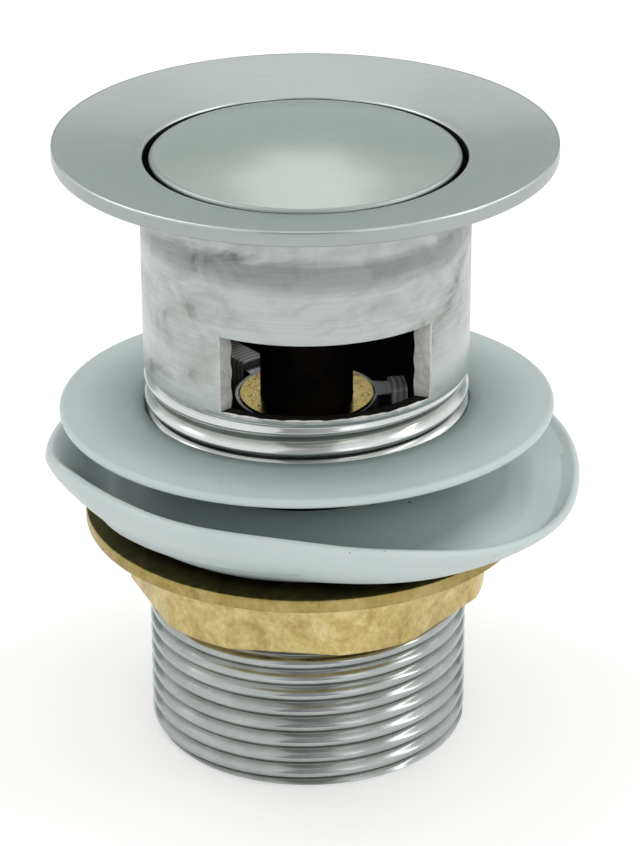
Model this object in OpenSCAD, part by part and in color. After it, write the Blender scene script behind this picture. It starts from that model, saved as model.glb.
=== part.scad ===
// Slotted basin waste with a push-to-open plug, drawn closed and standing on the foot of its tail.
// Millimetres. Z runs up the axis of the waste, z = 0 is the foot of the tail and -Y is the front.

/* [Body] */
// Height from the foot of the tail to the rim of the flange
body_h = 81.9; // [78:0.1:110]
// Outside diameter of the tube, which is also the crest diameter of the tail's thread
tail_d = 41.91; // [41.5:0.01:46]
// Wall of the tube
tube_wall = 2.7; // [2.3:0.05:3]
// Chamfer at the foot of the tail
foot_chamfer = 0.5; // [0.2:0.1:1]
// Pitch of the tail's thread
thread_pitch = 2.309; // [2:0.001:2.6]
// Depth of the tail's thread
thread_depth = 1.45; // [0.8:0.05:1.5]
// Height of the thread's first crest above the foot
thread_foot = 1.8; // [1.5:0.1:3]
// Plain stretch left between the thread and the windows
thread_stop = 1.6; // [1.2:0.1:4]

/* [Flange] */
// Width of the flange round the tube
flange_w = 10.8; // [8:0.1:16]
// Thickness of the flange at its rim
flange_t = 1.9; // [1.6:0.1:3]
// Fall of the flange's top from its rim to its mouth
flange_dish = 2.2; // [1:0.1:3]
// Width of the flat land under the rim, which bears on the basin
land_w = 2.6; // [1.5:0.1:4]
// Rounding of the rim's top edge and of the mouth's edge
edge_round = 0.3; // [0.2:0.1:0.7]
// Wall left between the mouth that the plug sits in and the tube's outside
mouth_wall = 0.55; // [0.4:0.05:0.9]
// Depth of the mouth's straight wall
mouth_depth = 2; // [1.6:0.1:3]
// Fillet between the tube and the underside of the flange
root_fillet = 1.2; // [0.5:0.1:2]
// Thickness of the flange where it meets the tube
root_t = 2.2; // [1.8:0.1:3]

/* [Overflow windows] */
// Number of windows round the tube
window_count = 2; // [1:1:3]
// Angle that one window takes of the tube
window_angle = 78; // [40:1:85]
// Height of the window
window_h = 10; // [6:0.1:12]
// Depth of the window's sill below the rim of the flange
window_drop = 29.4; // [28:0.1:33]
// Turn of the first window from the front
window_turn = 8.3; // [-30:0.1:30]

/* [Spider] */
// Diameter of the hub
hub_d = 18.8; // [17:0.1:22]
// Height of the hub
hub_h = 7; // [5:0.1:9]
// Depth of the hub's machined face below the sill
hub_drop = 5.8; // [5:0.1:9]
// Rounding of the hub's edges
hub_round = 0.6; // [0.3:0.1:0.6]
// Number of arms that carry the hub
arm_count = 3; // [2:1:4]
// Width of an arm
arm_w = 4.2; // [3:0.1:6]
// Height of an arm
arm_h = 5.5; // [4:0.1:6]
// Depth of an arm's top below the hub's face
arm_drop = 0.5; // [0.2:0.1:1]
// Rounding of an arm's top edges
arm_round = 1.2; // [0.5:0.1:1.4]
// Turn of the first arm from +X towards the back
arm_turn = 8; // [-30:1:30]
// Width of the rim round the recess in the hub's face
hub_rim = 0.65; // [0.6:0.05:1]
// Depth of the recess in the hub's face
hub_recess = 0.8; // [0.5:0.1:1.2]

/* [Hub bush] */
// Wall of the flanged bush between the hub and the cartridge
bush_wall = 1.2; // [0.8:0.1:1.4]
// Height of the bush's flange above the hub's rim
bush_proud = 0.1; // [0:0.05:0.3]
// Visible gap between the bush's flange and the hub's rim
bush_gap = 0.15; // [0.1:0.05:0.2]

/* [Plug] */
// Lift of the plug from closed to open
plug_travel = 8; // [6:0.1:9]
// Extra press below closed that trips the catch
plug_press = 1.2; // [0.8:0.1:1.5]
// Gap between the cap and the mouth
cap_gap = 0.75; // [0.5:0.05:1.2]
// Height of the cap's shoulder above the mouth's edge
cap_proud = 0.1; // [0:0.1:0.8]
// Rise of the dome over the cap's shoulder
cap_rise = 1.4; // [0.5:0.1:3]
// Rounding of the cap's shoulder
cap_round = 0.9; // [0.4:0.1:1.2]
// Depth of the cap's underside below the mouth's edge
cap_depth = 2.7; // [2.4:0.1:3.2]
// Thickness of the plug's seal
seal_t = 3; // [2.5:0.1:4]
// Thickness of the lip at the foot of the seal
lip_t = 1.2; // [0.8:0.1:1.5]
// Gap between the plate that holds the seal and the bore
plate_gap = 3.2; // [2:0.1:6]
// Thickness of the seal's plate
seal_plate_t = 1.4; // [1:0.1:2]
// Diameter of the stud that the cap screws on
stud_d = 8; // [7:0.1:10]
// Length of stud inside the cap
stud_grip = 2.7; // [2:0.1:3]
// Height of the lock nut under the seal's plate
plug_nut_t = 3; // [2.5:0.1:4]
// Wall of the lock nut from its bore to its flats
plug_nut_wall = 2.5; // [2:0.1:3]

/* [Push cartridge] */
// Outside diameter of the housing
housing_d = 12; // [11.5:0.1:13]
// Wall of the housing
housing_wall = 0.9; // [0.7:0.05:1]
// Length of housing below the hub's lock nut
housing_tail = 3.4; // [2.8:0.1:5]
// Diameter of the plunger where it slides in its bush
plunger_d = 6; // [5.5:0.1:6.5]
// Diameter of the spindle that carries the cam rotor
spindle_d = 4; // [3.5:0.1:4.2]
// Thickness of the gland's end wall
gland_t = 1.5; // [1:0.1:2]
// Wall of the gland's skirt from its bore to its flats
gland_wall = 1.2; // [1:0.1:2]
// Length of the gland's skirt over the housing
gland_skirt = 3; // [2:0.1:4]
// Thickness of the bush's flange
bush_flange_t = 0.8; // [0.6:0.1:1.2]
// Length of the bush below its flange
bush_h = 1.7; // [1.4:0.1:3]
// Thickness of the plunger's O-ring
o_ring_t = 1.3; // [1:0.1:1.4]
// Diameter of the guide pin in the housing's wall
pin_d = 1.6; // [1.2:0.1:1.8]
// Depth of the cam track
track_depth = 1.2; // [0.8:0.1:1.3]
// Length of rotor beyond each end of the cam track
track_margin = 0.9; // [0.6:0.1:2]
// Number of open and closed stations in one turn of the rotor
track_stations = 3; // [2:1:3]
// Thickness of the thrust washer under the rotor
thrust_t = 0.7; // [0.5:0.1:1]
// Thickness of the clip under the thrust washer
clip_t = 0.6; // [0.4:0.1:0.8]
// Wire diameter of the return spring
spring_wire = 0.8; // [0.6:0.05:0.9]
// Number of turns of the return spring
spring_turns = 5; // [4:0.5:5]
// Thickness of the screwed plug at the foot of the housing
base_t = 2.6; // [2:0.1:4]
// Width of the screwdriver slot in the foot plug
slot_w = 1.2; // [1:0.1:1.6]
// Height of the lock nut under the hub
hub_nut_t = 4; // [3:0.1:5]
// Wall of the hub's lock nut from its bore to its flats
hub_nut_wall = 2.5; // [2:0.1:3]
// Thickness of the washer under the hub
hub_washer_t = 0.8; // [0.5:0.1:1.2]

/* [Back nut] */
// Height of the nut's underside above the foot
nut_level = 20.5; // [12:0.1:24]
// Height of the nut
nut_h = 11.3; // [9:0.1:14]
// Width of the nut's flange outside its corners
nut_overhang = 5.6; // [3:0.1:8]
// Thickness of the nut's flange
nut_flange_t = 1.8; // [1.5:0.1:3]
// Wall of the nut from the tail to its flats
nut_wall = 1.35; // [1.2:0.05:3]
// Height of the nut's rounded corners over its flats
nut_corner = 1.1; // [0.6:0.1:2]
// Turn of the nut's flats, so that one flat faces a little left of the front
nut_turn = -7.8; // [-30:0.1:30]
// Chamfer of the nut's edges
nut_chamfer = 0.6; // [0.3:0.1:1]

/* [Washers] */
// Mean height of the tapered washer's rim above its foot
taper_h = 7.3; // [6.5:0.1:9]
// Width of the tapered washer from its bore to its rim
taper_w = 13.8; // [12:0.1:16]
// Width of the flat foot round the bore
taper_foot = 3.7; // [2:0.1:5]
// Height of the tapered washer at its bore
taper_core = 7.8; // [6:0.1:9]
// Thickness of the tapered washer's rim
taper_rim = 1.4; // [1:0.1:2]
// Rise of the soft rim on its high side, which is also its fall on the other
rim_tilt = 2.1; // [0:0.1:2.5]
// Turn of the rim's high side from the front
rim_tilt_turn = -54; // [-90:1:90]
// Rise of the soft rim at the two ends of the line that it is folded along
rim_fold = 2.2; // [0:0.1:2.5]
// Turn of the fold's line from the front
rim_fold_turn = -27; // [-90:1:90]
// Width of the flat washer round the tail
flat_w = 11; // [7:0.1:14]
// Thickness of the flat washer
flat_t = 1.4; // [1:0.1:2]
// Gap between the flat washer and the highest that the tapered washer's rim can stand
flat_lift = 1.2; // [1.2:0.1:6]

/* [Clearances] */
// Radial clearance of a screwed or running fit
fit_gap = 0.05; // [0.02:0.01:0.08]
// Clearance of parts that pass each other
run_gap = 0.3; // [0.25:0.05:0.4]
// Radial play of the nut and the washers on the tail
slip_gap = 0.08; // [0.05:0.01:0.1]

/* [Hidden] */
$fn = 96;

// Body
tail_r = tail_d / 2;
bore_r = tail_r - tube_wall;
flange_r = tail_r + flange_w;
mouth_r = tail_r - mouth_wall;
z_mouth = body_h - flange_dish;
z_seat = z_mouth - mouth_depth;
z_land = body_h - flange_t;
z_root = z_mouth - root_t;
window_sill = body_h - window_drop;
thread_turns = floor((window_sill - thread_stop - thread_foot) / thread_pitch);
hub_top = window_sill - hub_drop;
hub_bottom = hub_top - hub_h;
hub_recess_r = hub_d / 2 - hub_rim;

// Plug, from the cap down
cap_r = mouth_r - cap_gap;
z_shoulder = z_mouth + cap_proud;
z_cap = z_mouth - cap_depth;
z_seal = z_cap - seal_t;
z_plate = z_seal - seal_plate_t;
z_plug_nut = z_plate - plug_nut_t;
lip_r = bore_r - run_gap;
seal_r = lip_r - lip_t / 2;
stud_r = stud_d / 2;

// Cartridge, from the gland down
plunger_r = plunger_d / 2;
spindle_r = spindle_d / 2;
housing_r = housing_d / 2;
hub_bush_r = housing_r + fit_gap + bush_wall;
chamber_r = housing_r - housing_wall;
z_gland = z_plug_nut - plug_press - run_gap;
z_bush = z_gland - gland_t;
z_housing = z_bush - bush_flange_t;
z_bush_foot = z_housing - bush_h;
rotor_r = chamber_r - run_gap;
track_half = pin_d / 2 + run_gap / 2;
track_end = track_margin + track_half;
rotor_h = plug_travel + plug_press + 2 * track_end;
z_rotor_top = z_bush_foot - plug_travel - run_gap;
z_rotor = z_rotor_top - rotor_h;
z_pin = z_rotor + plug_travel + track_end;
z_thrust = z_rotor - run_gap / 2 - thrust_t;
z_clip = z_thrust - clip_t;
z_hub_nut = hub_bottom - hub_washer_t - hub_nut_t;
z_housing_foot = z_hub_nut - housing_tail;
z_base = z_housing_foot + base_t;
spring_r = rotor_r - spring_wire / 2;
o_ring_r = plunger_r + fit_gap + o_ring_t / 2;

// Cam track: the pin climbs from an open station to a peak, drops into the closed station, climbs to a
// second peak and runs down to the next open station. Angles are shares of one station.
station_angle = 360 / track_stations;
track_low = track_end;
track_high = rotor_h - track_end;
track_catch = track_high - plug_press;
track_share = [0, 0.3, 0.45, 0.62, 1];
track_height = [track_low, track_high, track_catch, track_high, track_low];
// Share of the last leg that lies between its peak and the closed level
rest_share = plug_press / (plug_travel + plug_press);
// Angle on the rotor where the pin stands at rest, in the last leg
rest_angle = station_angle * (track_share[3] + rest_share * (track_share[4] - track_share[3]));
// The pin stands at the back of the housing
pin_azimuth = 90;

// Nut and washers
nut_top = nut_level + nut_h;
nut_af = tail_d + 2 * nut_wall;
nut_r = nut_af / 2 + nut_corner;
flat_r = tail_r + flat_w;
slip_r = tail_r + slip_gap;
z_taper = nut_top + run_gap;
taper_r = slip_r + taper_w;
z_flat = z_taper + taper_h + rim_tilt + rim_fold + flat_lift;

// Points of an arc in a section, as radius and height
function arc(centre, r, from, to, steps = 8) = [
    for (i = [0 : steps])
        let (angle = from + (to - from) * i / steps)
            centre + r * [cos(angle), sin(angle)]
];

// A ring or disc with square edges
module ring(outer_r, inner_r, z, h) {
    translate([0, 0, z])
        difference() {
            cylinder(r = outer_r, h = h);
            translate([0, 0, -1])
                cylinder(r = inner_r, h = h + 2);
        }
}

// A hexagon nut blank with its corners rounded off at both ends
module hex_nut(af, bore_radius, z, h, corner) {
    corner_r = af / sqrt(3);
    difference() {
        intersection() {
            translate([0, 0, z])
                cylinder(r = corner_r, h = h, $fn = 6);
            rotate_extrude()
                polygon([
                    [0, z], [corner_r - corner, z], [corner_r, z + corner], [corner_r, z + h - corner],
                    [corner_r - corner, z + h], [0, z + h]
                ]);
        }
        translate([0, 0, z - 1])
            cylinder(r = bore_radius, h = h + 2);
    }
}

// Point on a curve that leaves p0 towards p1 and reaches p3 from p2
function bezier(p0, p1, p2, p3, t) =
    pow(1 - t, 3) * p0 + 3 * pow(1 - t, 2) * t * p1 + 3 * (1 - t) * t * t * p2 + pow(t, 3) * p3;

// The thread's ridges, drawn as closed rings between flat-bottomed grooves with 55 degree flanks
function thread_section() = [
    for (i = [0 : thread_turns - 1])
        let (
            z = thread_foot + (i + 1 / 2) * thread_pitch,
            flank = thread_depth * tan(55 / 2),
            half_root = (thread_pitch / 2 - flank) / 2
        )
            each [
                [tail_r, z - half_root - flank], [tail_r - thread_depth, z - half_root],
                [tail_r - thread_depth, z + half_root], [tail_r, z + half_root + flank]
            ]
];

// Section of the tube, the seat and the dished flange
function body_section() = concat(
    [[bore_r, 0], [tail_r - foot_chamfer, 0], [tail_r, foot_chamfer]],
    thread_section(),
    arc([tail_r + root_fillet, z_root - root_fillet], root_fillet, 180, 90),
    [[flange_r - land_w, z_land], [flange_r - edge_round / 2, z_land], [flange_r, z_land + edge_round / 2]],
    arc([flange_r - edge_round, body_h - edge_round], edge_round, 0, 90),
    arc([mouth_r + edge_round, z_mouth - edge_round], edge_round, 90, 180),
    [[mouth_r, z_seat], [bore_r, z_seat - (mouth_r - bore_r)]]
);

module window_cut() {
    reach = tail_d;
    translate([0, 0, window_sill])
        linear_extrude(window_h)
            polygon([
                [0, 0],
                reach * [cos(-window_angle / 2), sin(-window_angle / 2)],
                reach * [cos(window_angle / 2), sin(window_angle / 2)]
            ]);
}

module spider() {
    rotate_extrude()
        polygon(concat(
            [[0, hub_bottom]],
            arc([hub_d / 2 - hub_round, hub_bottom + hub_round], hub_round, -90, 0),
            arc([hub_d / 2 - hub_round, hub_top - hub_round], hub_round, 0, 90),
            [[0, hub_top]]
        ));
    arm_top = hub_top - arm_drop;
    arm_edge = arm_w / 2 - arm_round;
    // An arm ends inside the wall that the thread leaves
    arm_reach = (bore_r + tail_r - thread_depth) / 2;
    for (i = [0 : arm_count - 1])
        rotate([0, 0, arm_turn + i * 360 / arm_count])
            rotate([90, 0, 90])
                linear_extrude(arm_reach)
                    polygon(concat(
                        [[-arm_w / 2, arm_top - arm_h], [arm_w / 2, arm_top - arm_h]],
                        arc([arm_edge, arm_top - arm_round], arm_round, 0, 90),
                        arc([-arm_edge, arm_top - arm_round], arm_round, 90, 180)
                    ));
}

// Plated brass body in one piece: dished flange, seat, slotted tube, spider and threaded tail
module waste_body() {
    color("gainsboro")
        difference() {
            union() {
                rotate_extrude()
                    polygon(body_section());
                spider();
            }
            for (i = [0 : window_count - 1])
                rotate([0, 0, window_turn - 90 + i * 360 / window_count])
                    window_cut();
            translate([0, 0, hub_bottom - 1])
                cylinder(r = hub_bush_r + fit_gap, h = hub_h + 2);
            translate([0, 0, hub_top - hub_recess])
                cylinder(r = hub_recess_r, h = hub_recess + 1);
        }
}

// Radius of the sphere that the dome is part of
function dome_radius(chord_r, rise) = (chord_r * chord_r + rise * rise) / (2 * rise);

// Domed cap, coned underneath to follow the seat, with a blind screwed hole for the plunger's stud
module plug_cap() {
    shoulder_r = cap_r - cap_round;
    dome_r = dome_radius(shoulder_r, cap_rise);
    dome_half = asin(shoulder_r / dome_r);
    cone_r = seal_r - run_gap;
    color("gainsboro")
        difference() {
            rotate_extrude()
                polygon(concat(
                    [[0, z_cap], [cone_r, z_cap], [cap_r, z_cap + cap_r - cone_r]],
                    arc([shoulder_r, z_shoulder - cap_round], cap_round, 0, 90),
                    arc([0, z_shoulder + cap_rise - dome_r], dome_r, 90 - dome_half, 90, 12)
                ));
            translate([0, 0, z_cap - 1])
                cylinder(r = stud_r + fit_gap, h = stud_grip + run_gap + 1);
        }
}

// Soft seal with a lip that runs in the tube's bore
module plug_seal() {
    color("dimgray")
        rotate_extrude()
            polygon(concat(
                [[stud_r + fit_gap, z_seal]],
                arc([lip_r - lip_t / 2, z_seal + lip_t / 2], lip_t / 2, -90, 90),
                [[seal_r, z_cap], [stud_r + fit_gap, z_cap]]
            ));
}

module seal_plate() {
    color("darkkhaki")
        ring(bore_r - plate_gap, stud_r + fit_gap, z_plate, seal_plate_t);
}

module plug_lock_nut() {
    color("darkkhaki")
        hex_nut(stud_d + 2 * plug_nut_wall, stud_r + fit_gap, z_plug_nut, plug_nut_t, edge_round);
}

// Stepped plunger: stud for the cap, sliding shaft, spindle for the rotor and a groove for the clip
module plunger() {
    groove_r = spindle_r - clip_t / 2;
    tip = clip_t;
    z_step = z_rotor_top + run_gap / 2;
    color("silver")
        rotate_extrude()
            polygon([
                [0, z_clip - tip], [spindle_r - tip / 2, z_clip - tip], [spindle_r, z_clip - tip / 2],
                [spindle_r, z_clip], [groove_r, z_clip], [groove_r, z_clip + clip_t],
                [spindle_r, z_clip + clip_t], [spindle_r, z_step], [plunger_r, z_step],
                [plunger_r, z_plug_nut], [stud_r, z_plug_nut], [stud_r, z_cap + stud_grip - edge_round],
                [stud_r - edge_round, z_cap + stud_grip], [0, z_cap + stud_grip]
            ]);
}

// Point on the rotor, from an angle, a height and a radius
function on_rotor(angle, height, r) = [r * cos(angle), r * sin(angle), height];

// One straight leg of the track, cut between two stations of the unrolled rotor
module track_leg(from, to) {
    steps = 6;
    floor_r = rotor_r - track_depth;
    // The cutter's flat faces have to clear the round rotor
    cutter_reach = 1.25;
    mouth = cutter_reach * rotor_r;
    run = (to[0] - from[0]) * PI / 180 * floor_r;
    rise = to[1] - from[1];
    length = norm([run, rise]);
    side_angle = track_half * rise / length * 180 / PI / floor_r;
    side_height = track_half * run / length;
    points = [
        for (i = [0 : steps])
            let (a = from[0] + (to[0] - from[0]) * i / steps, h = from[1] + rise * i / steps)
                each [
                    on_rotor(a - side_angle, h + side_height, floor_r),
                    on_rotor(a - side_angle, h + side_height, mouth),
                    on_rotor(a + side_angle, h - side_height, mouth),
                    on_rotor(a + side_angle, h - side_height, floor_r)
                ]
    ];
    faces = concat(
        [[0, 1, 2, 3], [for (k = [3 : -1 : 0]) 4 * steps + k]],
        [for (i = [0 : steps - 1], k = [0 : 3]) each [
            [4 * i + k, 4 * i + 4 + k, 4 * i + (k + 1) % 4],
            [4 * i + (k + 1) % 4, 4 * i + 4 + k, 4 * i + 4 + (k + 1) % 4]
        ]]
    );
    polyhedron(points, faces, convexity = 4);
}

// Round corner of the track
module track_corner(angle, height) {
    corner_r = track_half + fit_gap;
    translate(on_rotor(angle, height, rotor_r - track_depth))
        rotate([0, 90, angle])
            cylinder(r = corner_r, h = track_depth + run_gap, $fn = 32);
}

// Moulded rotor with the push-push cam track round it
module cam_rotor() {
    color("ivory")
        translate([0, 0, z_rotor])
            rotate([0, 0, pin_azimuth - rest_angle])
                difference() {
                    cylinder(r = rotor_r, h = rotor_h);
                    translate([0, 0, -1])
                        cylinder(r = spindle_r + fit_gap, h = rotor_h + 2);
                    for (s = [0 : track_stations - 1], leg = [0 : 3]) {
                        start = [(s + track_share[leg]) * station_angle, track_height[leg]];
                        end = [(s + track_share[leg + 1]) * station_angle, track_height[leg + 1]];
                        track_leg(start, end);
                        track_corner(start[0], start[1]);
                    }
                }
}

module thrust_washer() {
    color("silver")
        ring(rotor_r, spindle_r + fit_gap, z_thrust, thrust_t);
}

// Open clip that snaps into the spindle's groove
module rotor_clip() {
    clip_r = spring_r - spring_wire / 2 - run_gap;
    inner_r = spindle_r - clip_t / 2 + fit_gap;
    color("dimgray")
        difference() {
            ring(clip_r, inner_r, z_clip, clip_t);
            translate([0, -inner_r, z_clip - 1])
                cube([2 * clip_r, 2 * inner_r, clip_t + 2]);
        }
}

// Compression spring with a closed turn at each end
module return_spring() {
    sides = 8;
    rings_a_turn = 16;
    rings = spring_turns * rings_a_turn;
    foot = z_base + spring_wire / 2 + fit_gap;
    head = z_clip + clip_t - fit_gap - spring_wire / 2;
    closed_pitch = spring_wire + 2 * fit_gap;
    open_pitch = (head - foot - 2 * closed_pitch) / (spring_turns - 2);
    function height(turn) =
        foot + closed_pitch * min(turn, 1)
        + open_pitch * min(max(turn - 1, 0), spring_turns - 2)
        + closed_pitch * max(turn - spring_turns + 1, 0);
    points = [
        for (i = [0 : rings], k = [0 : sides - 1])
            let (
                turn = i / rings_a_turn,
                side = 360 * k / sides,
                r = spring_r + spring_wire / 2 * cos(side)
            )
                [r * cos(360 * turn), r * sin(360 * turn), height(turn) + spring_wire / 2 * sin(side)]
    ];
    faces = concat(
        [[for (k = [0 : sides - 1]) k], [for (k = [sides - 1 : -1 : 0]) rings * sides + k]],
        [for (i = [0 : rings - 1], k = [0 : sides - 1]) each [
            [i * sides + k, (i + 1) * sides + k, i * sides + (k + 1) % sides],
            [i * sides + (k + 1) % sides, (i + 1) * sides + k, (i + 1) * sides + (k + 1) % sides]
        ]]
    );
    color("lightsteelblue")
        polyhedron(points, faces, convexity = 10);
}

// Tube of the cartridge, screwed into the hub, with a hole for the guide pin at the back
module cartridge_housing() {
    color("gray")
        difference() {
            ring(housing_r, chamber_r, z_housing_foot, z_housing - z_housing_foot);
            translate([0, 0, z_pin])
                rotate([0, 90, pin_azimuth])
                    cylinder(r = pin_d / 2 + fit_gap, h = housing_d);
        }
}

// Steel pin that reaches into the cam track
module guide_pin() {
    pin_tip = rotor_r - track_depth + run_gap;
    color("lightsteelblue")
        translate([0, 0, z_pin])
            rotate([0, 90, pin_azimuth])
                translate([0, 0, pin_tip])
                    cylinder(r = pin_d / 2, h = housing_r - fit_gap - pin_tip);
}

// Flanged guide bush with a pocket for the O-ring
module plunger_bush() {
    pocket_r = o_ring_r + o_ring_t / 2 + fit_gap;
    pocket_h = o_ring_t + fit_gap;
    bush_r = chamber_r - fit_gap;
    guide_r = plunger_r + fit_gap;
    color("ivory")
        rotate_extrude()
            polygon([
                [guide_r, z_bush_foot], [bush_r, z_bush_foot], [bush_r, z_housing], [housing_r, z_housing],
                [housing_r, z_bush], [pocket_r, z_bush], [pocket_r, z_bush - pocket_h],
                [guide_r, z_bush - pocket_h]
            ]);
}

module plunger_o_ring() {
    color("dimgray")
        translate([0, 0, z_bush - o_ring_t / 2 - fit_gap / 2])
            rotate_extrude()
                translate([o_ring_r, 0])
                    circle(d = o_ring_t, $fn = 32);
}

// Gland that screws over the housing and holds the bush and the O-ring down
module gland_nut() {
    skirt_foot = z_housing - gland_skirt;
    gland_af = housing_d + 2 * gland_wall;
    color("darkkhaki")
        difference() {
            hex_nut(gland_af, plunger_r + 2 * fit_gap, skirt_foot, z_gland - skirt_foot, edge_round);
            translate([0, 0, skirt_foot - 1])
                cylinder(r = housing_r + fit_gap, h = z_bush - skirt_foot + 1);
        }
}

// Screwed plug that carries the spring, slotted for a screwdriver
module housing_foot_plug() {
    color("darkkhaki")
        difference() {
            translate([0, 0, z_housing_foot])
                cylinder(r = chamber_r - fit_gap, h = base_t);
            translate([-housing_d, -slot_w / 2, z_housing_foot - 1])
                cube([2 * housing_d, slot_w, 1 + base_t / 2]);
        }
}

// Flanged brass bush that the cartridge screws into, with its flange in the hub's recess
module hub_bush() {
    bush_flange_r = hub_recess_r - bush_gap;
    z_seat_face = hub_top - hub_recess;
    color("darkkhaki")
        rotate_extrude()
            polygon([
                [housing_r + fit_gap, hub_bottom], [hub_bush_r, hub_bottom], [hub_bush_r, z_seat_face],
                [bush_flange_r, z_seat_face], [bush_flange_r, hub_top + bush_proud],
                [housing_r + fit_gap, hub_top + bush_proud]
            ]);
}

module hub_washer() {
    color("silver")
        ring(hub_d / 2 - hub_round, housing_r + fit_gap, hub_bottom - hub_washer_t, hub_washer_t);
}

module hub_lock_nut() {
    color("darkkhaki")
        hex_nut(housing_d + 2 * hub_nut_wall, housing_r + fit_gap, z_hub_nut, hub_nut_t, edge_round);
}

// Thin plastic washer with rounded edges
module flat_washer() {
    color("whitesmoke")
        rotate_extrude()
            polygon(concat(
                [[slip_r, z_flat]],
                arc([flat_r - flat_t / 2, z_flat + flat_t / 2], flat_t / 2, -90, 90),
                [[slip_r, z_flat + flat_t]]
            ));
}

// Height of the soft rim at an angle from the front towards the right
function rim_height(angle) =
    z_taper + taper_h + rim_tilt * cos(angle - rim_tilt_turn) + rim_fold * cos(2 * (angle - rim_fold_turn));

// Section of the soft washer at one angle: foot, cupped underside, rounded rim and thick top face
function taper_section(angle) =
    let (
        steps = 6,
        z_rim = rim_height(angle),
        foot_r = slip_r + taper_foot,
        wall_w = taper_r - foot_r,
        foot = [foot_r, z_taper],
        rim = [taper_r, z_rim - taper_rim / 2],
        lip = rim - [taper_rim, 0],
        core = [slip_r - run_gap, z_taper + taper_core],
        bend = [foot_r + wall_w / 3, z_taper + (z_rim - z_taper) / 6],
        wall = [taper_r - wall_w / 6, (z_taper + z_rim) / 2],
        curl = [lip[0] - wall_w / 6, (z_rim + core[1]) / 2],
        top = [slip_r + wall_w / 2, core[1]]
    )
        concat(
            [[slip_r - run_gap, z_taper]],
            [for (i = [0 : steps]) bezier(foot, bend, wall, rim, i / steps)],
            [rim + [-taper_rim / 2, taper_rim / 2]],
            [for (i = [0 : steps]) bezier(lip, curl, top, core, i / steps)]
        );

// Soft cupped washer, thick at its bore, with a thin rim that no longer lies flat
module tapered_washer() {
    sides = 60;
    sections = [for (i = [0 : sides - 1]) taper_section(360 * i / sides)];
    count = len(sections[0]);
    points = [
        for (i = [0 : sides - 1], p = sections[i])
            let (angle = 360 * i / sides)
                [p[0] * sin(angle), -p[0] * cos(angle), p[1]]
    ];
    faces = [
        for (i = [0 : sides - 1], k = [0 : count - 1])
            let (
                near = i * count,
                far = (i + 1) % sides * count,
                next = (k + 1) % count
            )
                each [[near + k, near + next, far + k], [near + next, far + next, far + k]]
    ];
    color("white")
        difference() {
            polyhedron(points, faces, convexity = 6);
            translate([0, 0, z_taper - 1])
                cylinder(r = slip_r, h = taper_core + 2);
        }
}

// Brass nut: thin round flange on a body with six flats
module back_nut() {
    flange_edge = nut_r + nut_overhang;
    z_flange = nut_top - nut_flange_t;
    relief = nut_chamfer / 2;
    countersink_r = slip_r + nut_chamfer;
    color("darkkhaki")
        difference() {
            union() {
                rotate([0, 0, nut_turn])
                    intersection() {
                        translate([0, 0, nut_level])
                            cylinder(r = nut_af / sqrt(3), h = nut_h - relief, $fn = 6);
                        rotate_extrude()
                            polygon([
                                [0, nut_level], [nut_r - nut_chamfer, nut_level],
                                [nut_r, nut_level + nut_chamfer], [nut_r, nut_top - relief],
                                [0, nut_top - relief]
                            ]);
                    }
                rotate_extrude()
                    polygon([
                        [0, z_flange], [flange_edge - relief, z_flange], [flange_edge, z_flange + relief],
                        [flange_edge, nut_top - relief], [flange_edge - relief, nut_top], [0, nut_top]
                    ]);
            }
            rotate_extrude()
                polygon([
                    [0, nut_level - 1], [countersink_r, nut_level - 1], [countersink_r, nut_level],
                    [slip_r, nut_level + nut_chamfer], [slip_r, nut_top - nut_chamfer],
                    [countersink_r, nut_top], [countersink_r, nut_top + 1], [0, nut_top + 1]
                ]);
        }
}

waste_body();
plug_cap();
plug_seal();
seal_plate();
plug_lock_nut();
plunger();
cam_rotor();
thrust_washer();
rotor_clip();
return_spring();
cartridge_housing();
guide_pin();
plunger_bush();
plunger_o_ring();
gland_nut();
housing_foot_plug();
hub_bush();
hub_washer();
hub_lock_nut();
flat_washer();
tapered_washer();
back_nut();
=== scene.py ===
"""Looks of the pop up basin waste: a plated body with a helical tail thread, a domed plug cap, a flat washer
that hangs a little askew, a soft warped tapered washer and a mottled brass back nut."""

import math

import bmesh
import bpy
import numpy as np
from mathutils import Matrix, Vector


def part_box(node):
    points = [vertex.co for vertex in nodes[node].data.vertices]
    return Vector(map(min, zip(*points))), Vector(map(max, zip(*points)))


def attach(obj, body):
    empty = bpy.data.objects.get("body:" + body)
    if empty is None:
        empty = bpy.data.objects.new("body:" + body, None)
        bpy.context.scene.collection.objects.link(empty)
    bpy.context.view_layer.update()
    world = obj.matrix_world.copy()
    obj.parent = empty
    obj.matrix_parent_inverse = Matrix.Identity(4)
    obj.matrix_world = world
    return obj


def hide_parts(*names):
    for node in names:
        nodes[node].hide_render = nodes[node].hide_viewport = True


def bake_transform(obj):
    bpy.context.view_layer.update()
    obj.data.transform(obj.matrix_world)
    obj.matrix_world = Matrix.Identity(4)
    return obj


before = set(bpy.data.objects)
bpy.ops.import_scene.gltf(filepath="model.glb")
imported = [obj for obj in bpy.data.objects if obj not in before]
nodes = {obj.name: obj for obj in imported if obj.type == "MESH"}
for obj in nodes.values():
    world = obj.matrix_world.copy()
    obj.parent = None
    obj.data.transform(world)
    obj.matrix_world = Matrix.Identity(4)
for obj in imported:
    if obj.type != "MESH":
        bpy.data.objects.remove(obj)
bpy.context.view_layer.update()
scene = bpy.context.scene

# Lengths are in millimetres until a mesh is stored, and in metres on the stage
MM = 0.001


def reach(node):
    """Radius, lowest and highest height of a round CAD node, in millimetres."""
    low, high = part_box(node)
    return high.x / MM, low.z / MM, high.z / MM


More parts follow.
